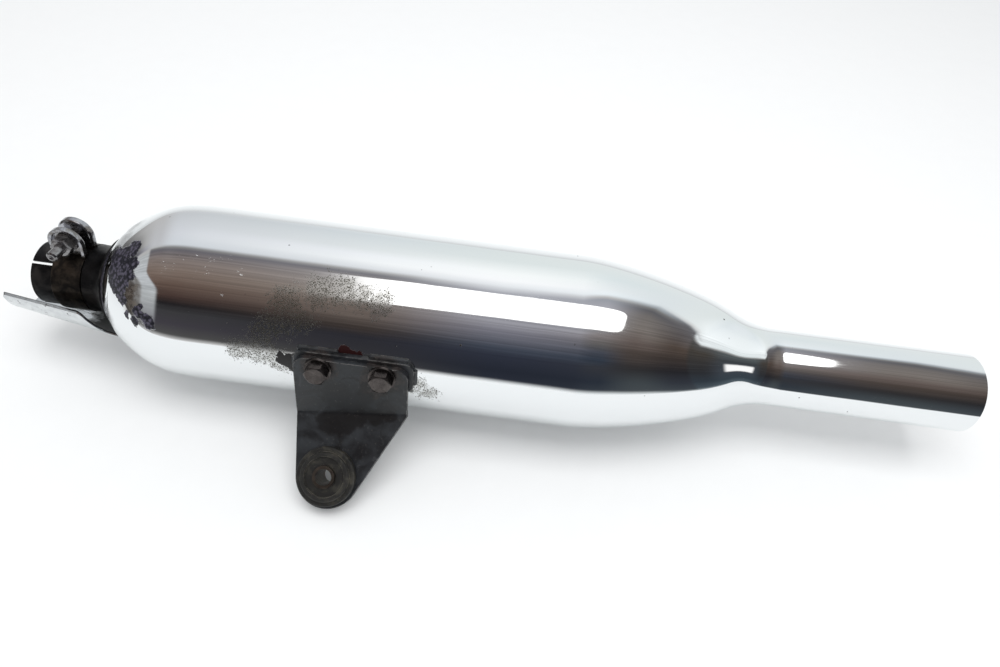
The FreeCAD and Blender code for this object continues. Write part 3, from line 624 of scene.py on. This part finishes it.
MATERIALS = {
    "polished_chrome": chrome_material(),
    "tongue_chrome": tongue_material(),
    "dark_steel": metal_material("dark_steel", tone(26, 26, 28), tone(48, 47, 48), 0.44,
                                 tone(58, 52, 47), 0.35),
    "clamp_steel": metal_material("clamp_steel", tone(96, 92, 92), tone(160, 158, 160), 0.20,
                                  tone(74, 64, 56), 0.5),
    "clamp_steel_band": clamp_material(),
    "bolt_steel": metal_material("bolt_steel", tone(54, 50, 50), tone(92, 86, 84), 0.30,
                                 tone(52, 42, 38), 0.6),
    "sleeve_steel": metal_material("sleeve_steel", tone(66, 60, 56), tone(108, 100, 92), 0.42,
                                   tone(70, 56, 46), 0.7),
    "inner_steel": metal_material("inner_steel", tone(120, 116, 112), tone(160, 156, 150), 0.42,
                                  tone(118, 96, 74), 0.6),
    "black_paint": paint_material(),
    "bush_rubber": rubber_material(),
    "packing": wool_material(),
}


def dress(obj, slot):
    """Give the object one material."""
    obj.data.materials.clear()
    obj.data.materials.append(MATERIALS[slot])


def smooth(obj):
    obj.data.polygons.foreach_set("use_smooth", [True] * len(obj.data.polygons))


OWN_FINISH = {"shield_tongue": "tongue_chrome", "clamp_band": "clamp_steel_band"}
for row in frame["record"]["subparts"]:
    dress(frame["nodes"][row["node"]], OWN_FINISH.get(row["node"], row["material_slot"]))


# ---- chrome skins: turned again with fine rings so reflections run smoothly -------
SKIN_SEGMENTS = 256


def ring_profile(points, slopes, spacing):
    """Outside and inside of a sheet wall as (x, r, normal x, normal r) rows, in metres."""
    start, end = points[0][0], points[-1][0]
    q = np.linspace(start, end, max(2, round((end - start) / spacing) + 1))
    r, slope = spline(points, slopes)(q)
    length = np.hypot(slope, 1)
    nx, nr = -slope / length, 1 / length
    outside = np.stack([q * MM, r * MM, nx, nr], 1)
    inside = np.stack([q * MM - nx * WALL, r * MM - nr * WALL, -nx, -nr], 1)[::-1]
    inside[:, 0] = np.clip(inside[:, 0], start * MM, end * MM)
    return outside, inside


def turned(name, loops, slot):
    """Mesh of revolution from closed loops of (x, r, nx, nr) rows, with exact normals."""
    rows = np.concatenate(loops)
    count = len(rows)
    angle = np.arange(SKIN_SEGMENTS) * 2 * math.pi / SKIN_SEGMENTS
    cos, sin = np.cos(angle)[:, None], np.sin(angle)[:, None]
    x, r, nx, nr = rows.T
    verts = np.stack([np.broadcast_to(x, (SKIN_SEGMENTS, count)), r * cos, r * sin], 2)
    normals = np.stack([np.broadcast_to(nx, (SKIN_SEGMENTS, count)), nr * cos, nr * sin], 2)
    faces = []
    for s in range(SKIN_SEGMENTS):
        a, b = s * count, (s + 1) % SKIN_SEGMENTS * count
        for i in range(count):
            j = (i + 1) % count
            faces.append((a + i, b + i, b + j, a + j))
    mesh = bpy.data.meshes.new(name)
    mesh.from_pydata(verts.reshape(-1, 3).tolist(), [], faces)
    mesh.update()
    obj = bpy.data.objects.new(name, mesh)
    bpy.context.scene.collection.objects.link(obj)
    smooth(obj)
    mesh.normals_split_custom_set_from_vertices(normals.reshape(-1, 3).tolist())
    dress(obj, slot)
    return obj


def cap(row_a, row_b, nx):
    """Two rows that close an end with a flat face whose normal runs along X."""
    return np.array([[row_a[0], row_a[1], nx, 0.0], [row_b[0], row_b[1], nx, 0.0]])


def skin(name, node, points, slopes, spacing):
    """Chrome sheet piece standing for one CAD node."""
    outside, inside = ring_profile(points, slopes, spacing)
    loops = [outside, cap(outside[-1], inside[0], 1.0), inside, cap(inside[-1], outside[0], -1.0)]
    obj = turned(name, loops, "polished_chrome")
    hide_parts(node)
    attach(obj, "muffler")
    return obj


# Millimetres between rings: close where the outline curves.
skin("front_dome_skin", "front_dome", DOME, DOME_SLOPES, 1.0)
skin("body_skin", "body_shell", BODY, FLAT, 4.0)
skin("rear_cone_skin", "rear_cone", CONE, CONE_SLOPES, 1.5)
tail_slope = (TAIL[1][1] - TAIL[0][1]) / (TAIL[1][0] - TAIL[0][0])
skin("tail_skin", "tail_pipe", TAIL, (tail_slope, tail_slope), 4.0)


# ---- stage ---------------------------------------------------------------------
PAPER_EDGE_Y = -0.245  # nearer the camera than this, the chrome sees the room and not the paper
PAPER_EDGE_BLUR = 0.012
FLOOR_HALF = 6.0
PAPER_TONES = ((0.90, 0.905, 0.905, 1), (0.92, 0.925, 0.925, 1))
PAPER_SEEN_IN_CHROME = (0.84, 0.86, 0.855, 1)
PAPER_GLOW_IN_CHROME = (0.08, 0.085, 0.085, 1)
NO_GLOW = (0, 0, 0, 1)


def paper_material():
    """White paper; the chrome sees it evened by a faint glow, and sees the room beyond its edge."""
    material, net = new_net("floor")
    where = net.place()
    y = net.split(where)[1]
    beyond = net.step(y, PAPER_EDGE_Y + PAPER_EDGE_BLUR, PAPER_EDGE_Y - PAPER_EDGE_BLUR)
    glossy = net.node("ShaderNodeLightPath").outputs["Is Glossy Ray"]
    paper = net.node("ShaderNodeBsdfDiffuse")
    grain = net.noise(where, 60, 3)
    net.put(paper.inputs[0], net.mix(glossy, net.mix(grain, *PAPER_TONES), PAPER_SEEN_IN_CHROME))
    lift = net.node("ShaderNodeEmission")
    net.put(lift.inputs[0], net.mix(glossy, NO_GLOW, PAPER_GLOW_IN_CHROME))
    lifted = net.node("ShaderNodeAddShader")
    net.put(lifted.inputs[0], paper.outputs[0])
    net.put(lifted.inputs[1], lift.outputs[0])
    room = net.node("ShaderNodeBsdfTransparent")
    blend = net.node("ShaderNodeMixShader")
    net.put(blend.inputs[0], net.times(beyond, glossy))
    net.tree.links.new(lifted.outputs[0], blend.inputs[1])
    net.tree.links.new(room.outputs[0], blend.inputs[2])
    out = net.node("ShaderNodeOutputMaterial")
    net.tree.links.new(blend.outputs[0], out.inputs[0])
    return material


def floor():
    """White paper under the muffler."""
    half = FLOOR_HALF
    corners = [(-half, -half, FLOOR_Z), (half, -half, FLOOR_Z), (half, half, FLOOR_Z),
               (-half, half, FLOOR_Z)]
    mesh = bpy.data.meshes.new("floor")
    mesh.from_pydata(corners, [], [(0, 1, 2, 3)])
    obj = bpy.data.objects.new("floor", mesh)
    bpy.context.scene.collection.objects.link(obj)
    mesh.materials.append(paper_material())


def reflected(*level):
    """Colour of a light that chrome shows as this display level, grey or RGB."""
    shown = level if len(level) == 3 else level * 3
    return tuple(linear(value) / part for value, part in zip(shown, CHROME)) + (1.0,)


# What the chrome sees, as rows. Each starts and ends at a ray's run toward the tail (-1 to 1), and
# holds stops of angle round the axis (-90 near the floor, 90 overhead, 180 behind) and display
# level, grey or RGB.
ROOM = [
    (-0.94, -0.91, [(-90, 120), (-60, 110), (-30, 84), (0, 82, 76, 70), (25, 84, 76, 72), (60, 92),
                    (75, 56, 56, 64), (110, 42, 42, 48), (190, 42), (220, 44), (235, 80), (250, 156)]),
    (-0.85, -0.8, [(-90, 208), (-30, 190), (-25, 104), (-5, 88), (5, 130), (40, 144), (75, 108),
                   (90, 104), (105, 146, 146, 154), (115, 164), (160, 164), (178, 130), (212, 42),
                   (235, 90), (255, 150)]),
    (-0.745, -0.6, [(-90, 214), (-29, 206), (-18, 102), (-2, 118, 118, 124), (8, 142, 144, 148),
                    (30, 168, 172, 174), (55, 180, 184, 188), (91, 172, 176, 178), (97, 176),
                    (105, 186, 188, 192), (185, 180), (205, 120), (215, 60), (240, 204)]),
    (-0.565, -0.47, [(-90, 218), (-26, 208), (-18, 76), (-2, 62, 60, 66), (15, 56, 56, 58),
                     (25, 32, 30, 32), (35, 66, 52, 48), (50, 96, 80, 72), (65, 118, 104, 96),
                     (81, 124, 114, 110), (95, 98, 96, 102), (99, 130), (103, 204, 210, 216),
                     (121, 208, 212, 218), (166, 192, 196, 200), (201, 210), (251, 210)]),
    (-0.2, -0.2, [(-90, 230), (-24, 222), (-19, 62), (-5, 48, 48, 52), (15, 42, 42, 48),
                  (25, 54, 48, 46), (50, 108, 98, 92), (66, 132, 124, 118), (89, 140, 136, 136),
                  (96, 120, 120, 126), (100, 160), (104, 218, 222, 226), (115, 242, 246, 248),
                  (125, 238, 242, 246), (136, 222, 228, 230), (166, 208, 216, 220),
                  (206, 228, 232, 232)]),
    (0, 0, [(-90, 236, 240, 240), (-24, 232, 236, 238), (-18, 40, 44, 54), (-5, 36, 40, 50),
            (15, 44, 48, 60), (25, 62, 68, 80), (45, 112, 112, 122), (55, 148, 148, 156),
            (93, 166, 168, 176), (103, 228, 232, 236), (112, 250, 252, 254), (124, 248, 252, 252),
            (147, 220, 228, 228), (175, 216, 224, 224), (250, 240, 244, 244)]),
    (0.31, 0.31, [(-90, 238, 242, 244), (-24, 224, 230, 232), (-18, 52, 58, 66), (-5, 40, 46, 56),
                  (15, 50, 52, 58), (25, 46, 54, 66), (35, 66, 70, 80), (43, 92, 90, 90),
                  (50, 126, 120, 120), (57, 148, 148, 152), (81, 168, 168, 176), (94, 152, 156, 164),
                  (98, 184), (103, 236, 244, 248), (113, 230, 236, 238), (133, 216, 226, 228),
                  (163, 222, 228, 228), (193, 244, 246, 246)]),
    (0.515, 0.515, [(-90, 234, 240, 240), (-24, 218, 224, 226), (-18, 68, 74, 78), (-5, 62, 68, 72),
                    (15, 46, 46, 48), (39, 72, 64, 60), (48, 98, 88, 84), (60, 118, 112, 108),
                    (79, 112, 108, 106), (90, 92, 92, 96), (95, 118), (101, 176, 184, 190),
                    (105, 216, 224, 228), (169, 222, 228, 228), (189, 232, 238, 238)]),
    (0.66, 0.692, [(-90, 232, 240, 240), (-26, 214, 222, 224), (-20, 62, 68, 74), (-5, 48, 52, 60),
                   (15, 38, 38, 42), (35, 56, 50, 48), (57, 76, 66, 60), (101, 100, 100, 104),
                   (105, 200), (110, 226, 232, 232), (169, 216, 224, 224), (209, 224, 230, 232)]),
    (0.712, 0.755, [(-90, 232, 236, 238), (-28, 204, 214, 216), (-19, 70, 80, 88), (-5, 48, 56, 64),
                    (15, 44, 46, 50), (66, 64, 60, 56), (86, 76), (90, 130), (96, 222, 228, 230),
                    (120, 246, 252, 254), (165, 220, 228, 232), (230, 228, 232, 236)]),
    (0.88, 0.88, [(-90, 230, 236, 236), (-38, 196, 204, 208), (-30, 130, 144, 150), (-20, 78, 90, 98),
                  (-8, 54, 64, 72), (15, 60, 66, 74), (50, 60, 64, 68), (85, 84, 90, 92), (91, 130),
                  (99, 216, 224, 226), (123, 238, 244, 246), (233, 230, 236, 236)]),
]
# Top edge of the dark part of the room as (place along X, angle). The rows draw it level.
TOP_EDGE = [(-1.0, 100), (-0.20, 99), (0.0, 100), (0.31, 112), (0.515, 116), (0.66, 99), (0.70, 91),
            (0.74, 72), (1.0, 72)]
TOP_EDGE_AT = 98.5

ROOM_TURN = 5.5  # degrees that the rows' angles stand ahead of true elevation
LEAN = 0.15  # how far the dark part's left end leans outward at its top
PALE_BLUR = 0.06  # how much wider the rows blend above the dark part
STREAKS_ALONG = 2.2
STREAKS_ROUND = 150.0
STREAK_GAIN = 1.3
WINDOW_LEVEL = 252
BOX_GLOW = (1.9, 1.9, 1.85, 1.0)
BOX_ANGLE = 77.5
BOX_HALF_WIDTH = 15.5
BOX_TILT = 6
BOX_ROUND_FROM = 0.34
BOX_ROUND_LENGTH = 0.10
DIFFUSE_SKY = (0.77, 0.78, 0.79, 1.0)
WHITE = (1.0, 1.0, 1.0, 1.0)


def at(angle):
    """An angle of the rows as a part of the whole turn."""
    return (angle + 90) / 360


def slid_angle(net, x, turn):
    """The angle, slid so that the dark part's top edge follows TOP_EDGE along the room."""
    across = net.plus(net.times(x, 0.5), 0.5)
    line = [((place + 1) / 2, (angle / 360,) * 3 + (1.0,)) for place, angle in TOP_EDGE]
    slide = net.minus(net.split(net.ramp(across, line))[0], TOP_EDGE_AT / 360)
    return net.minus(turn, net.times(slide, net.step(turn, at(30), at(85))))


def walls(net, x, turn):
    """The room's rows, blended sharply below the dark part's top edge and softly above it."""
    slid = slid_angle(net, x, turn)
    lean = net.times(net.step(slid, at(38), at(66)), net.step(x, -0.43, -0.56))
    leant = net.plus(x, net.times(lean, LEAN))
    rows = []
    for _, _, stops in ROOM:
        rows.append(net.ramp(slid, [(at(angle), reflected(*level)) for angle, *level in stops]))
    dark, pale = rows[0], rows[0]
    for row, (_, last, _), (start, _, _) in zip(rows[1:], ROOM, ROOM[1:]):
        dark = net.mix(net.step(leant, last, start), dark, row)
        pale = net.mix(net.step(x, last - PALE_BLUR, start + PALE_BLUR), pale, row)
    return net.mix(net.step(slid, at(97), at(103)), dark, pale)


def with_streaks(net, x, turn, seen):
    """Panelling and clutter in the dark part of the room: streaks that run along X."""
    pile = net.node("ShaderNodeCombineXYZ")
    net.put(pile.inputs[0], net.times(x, STREAKS_ALONG))
    net.put(pile.inputs[1], net.times(turn, STREAKS_ROUND))
    streak = net.noise(pile.outputs[0], 1.0, 5, 0.65, 0.3)
    dark = net.times(net.step(turn, at(8), at(22)), net.step(turn, at(100), at(86)))
    streak = net.lerp(dark, 0.5, streak)
    gain = net.plus(net.times(net.minus(streak, 0.5), STREAK_GAIN), 1.0)
    return net.vector("SCALE", seen, gain)


def with_window(net, x, turn, seen):
    """Window far to the right."""
    window = net.times(net.step(x, 0.86, 0.89), net.step(x, 0.96, 0.94))
    window = net.times(window, net.step(turn, at(12), at(17)))
    window = net.times(window, net.step(turn, at(40), at(33)))
    return net.mix(window, seen, reflected(WINDOW_LEVEL))


def with_box(net, x, turn, seen):
    """Long soft box overhead, fading at its left end and round at its right."""
    level = net.minus(turn, net.times(x, BOX_TILT / 360))
    aside = net.math("DIVIDE", net.minus(level, at(BOX_ANGLE)), BOX_HALF_WIDTH / 360)
    along = net.math("DIVIDE", net.minus(x, BOX_ROUND_FROM), BOX_ROUND_LENGTH)
    along = net.most(along, 0.0)
    out = net.plus(net.power(net.math("ABSOLUTE", aside), 4.0), net.power(along, 4.0))
    box = net.times(net.step(out, 1.18, 0.84), net.step(x, -0.29, -0.13))
    return net.mix(box, seen, BOX_GLOW)


def world():
    """Studio: plain to the camera and to diffuse rays, the painted room to the chrome."""
    made = bpy.data.worlds.new("studio")
    bpy.context.scene.world = made
    made.use_nodes = True
    net = Net(made.node_tree)
    x, y, z = net.split(net.node("ShaderNodeTexCoord").outputs["Generated"])
    # Rises through the -Y side, from 0 a little past straight down.
    turn = net.math("DIVIDE", net.math("ARCTAN2", y, z), 2 * math.pi)
    turn = net.math("FRACT", net.plus(turn, 1.5 - ROOM_TURN / 360))
    seen = walls(net, x, turn)
    seen = with_streaks(net, x, turn, seen)
    seen = with_window(net, x, turn, seen)
    seen = with_box(net, x, turn, seen)

    path = net.node("ShaderNodeLightPath")
    plain = net.mix(path.outputs["Is Camera Ray"], DIFFUSE_SKY, WHITE)
    colour = net.mix(path.outputs["Is Glossy Ray"], plain, seen)
    back = net.node("ShaderNodeBackground")
    net.put(back.inputs[0], colour)
    out = net.node("ShaderNodeOutputWorld")
    net.tree.links.new(back.outputs[0], out.inputs[0])


LIGHT_ELEVATION = 85.5
LIGHT_DISTANCE = 1.0
LIGHT_SIZE = (1.0, 0.5)
LIGHT_POWER = 5.4
LIGHT_X = 0.32


def soft_box():
    """Overhead light that throws the soft shadow; its reflection is the world's bright strip."""
    light = bpy.data.lights.new("soft_box", "AREA")
    light.shape = "RECTANGLE"
    light.size, light.size_y = LIGHT_SIZE
    light.energy = LIGHT_POWER
    obj = bpy.data.objects.new("soft_box", light)
    bpy.context.scene.collection.objects.link(obj)
    way = outward(LIGHT_ELEVATION)
    obj.location = Vector((LIGHT_X, 0, 0)) + way * LIGHT_DISTANCE
    obj.rotation_mode = "QUATERNION"
    obj.rotation_quaternion = way.to_track_quat("Z", "Y")
    obj.visible_glossy = False


def camera():
    """The view the muffler is shown in."""
    data = bpy.data.cameras.new("camera")
    data.lens = CAMERA_LENS
    data.sensor_width = 36.0
    data.shift_y = CAMERA_SHIFT_Y
    data.clip_start = 0.01
    obj = bpy.data.objects.new("camera", data)
    bpy.context.scene.collection.objects.link(obj)
    back = outward(CAMERA_ELEVATION)
    down = outward(CAMERA_ELEVATION - 90)
    roll = math.radians(CAMERA_ROLL)
    right = Vector((1, 0, 0)) * math.cos(roll) - down * math.sin(roll)
    up = -(Vector((1, 0, 0)) * math.sin(roll) + down * math.cos(roll))
    turn = Matrix((right, up, back)).transposed()
    obj.rotation_mode = "QUATERNION"
    obj.rotation_quaternion = turn.to_quaternion()
    obj.location = Vector((CAMERA_X, 0, 0)) + back * CAMERA_DISTANCE
    bpy.context.scene.camera = obj


floor()
world()
soft_box()
camera()
bpy.context.scene.view_settings.view_transform = "Standard"
bpy.context.scene.view_settings.look = "None"
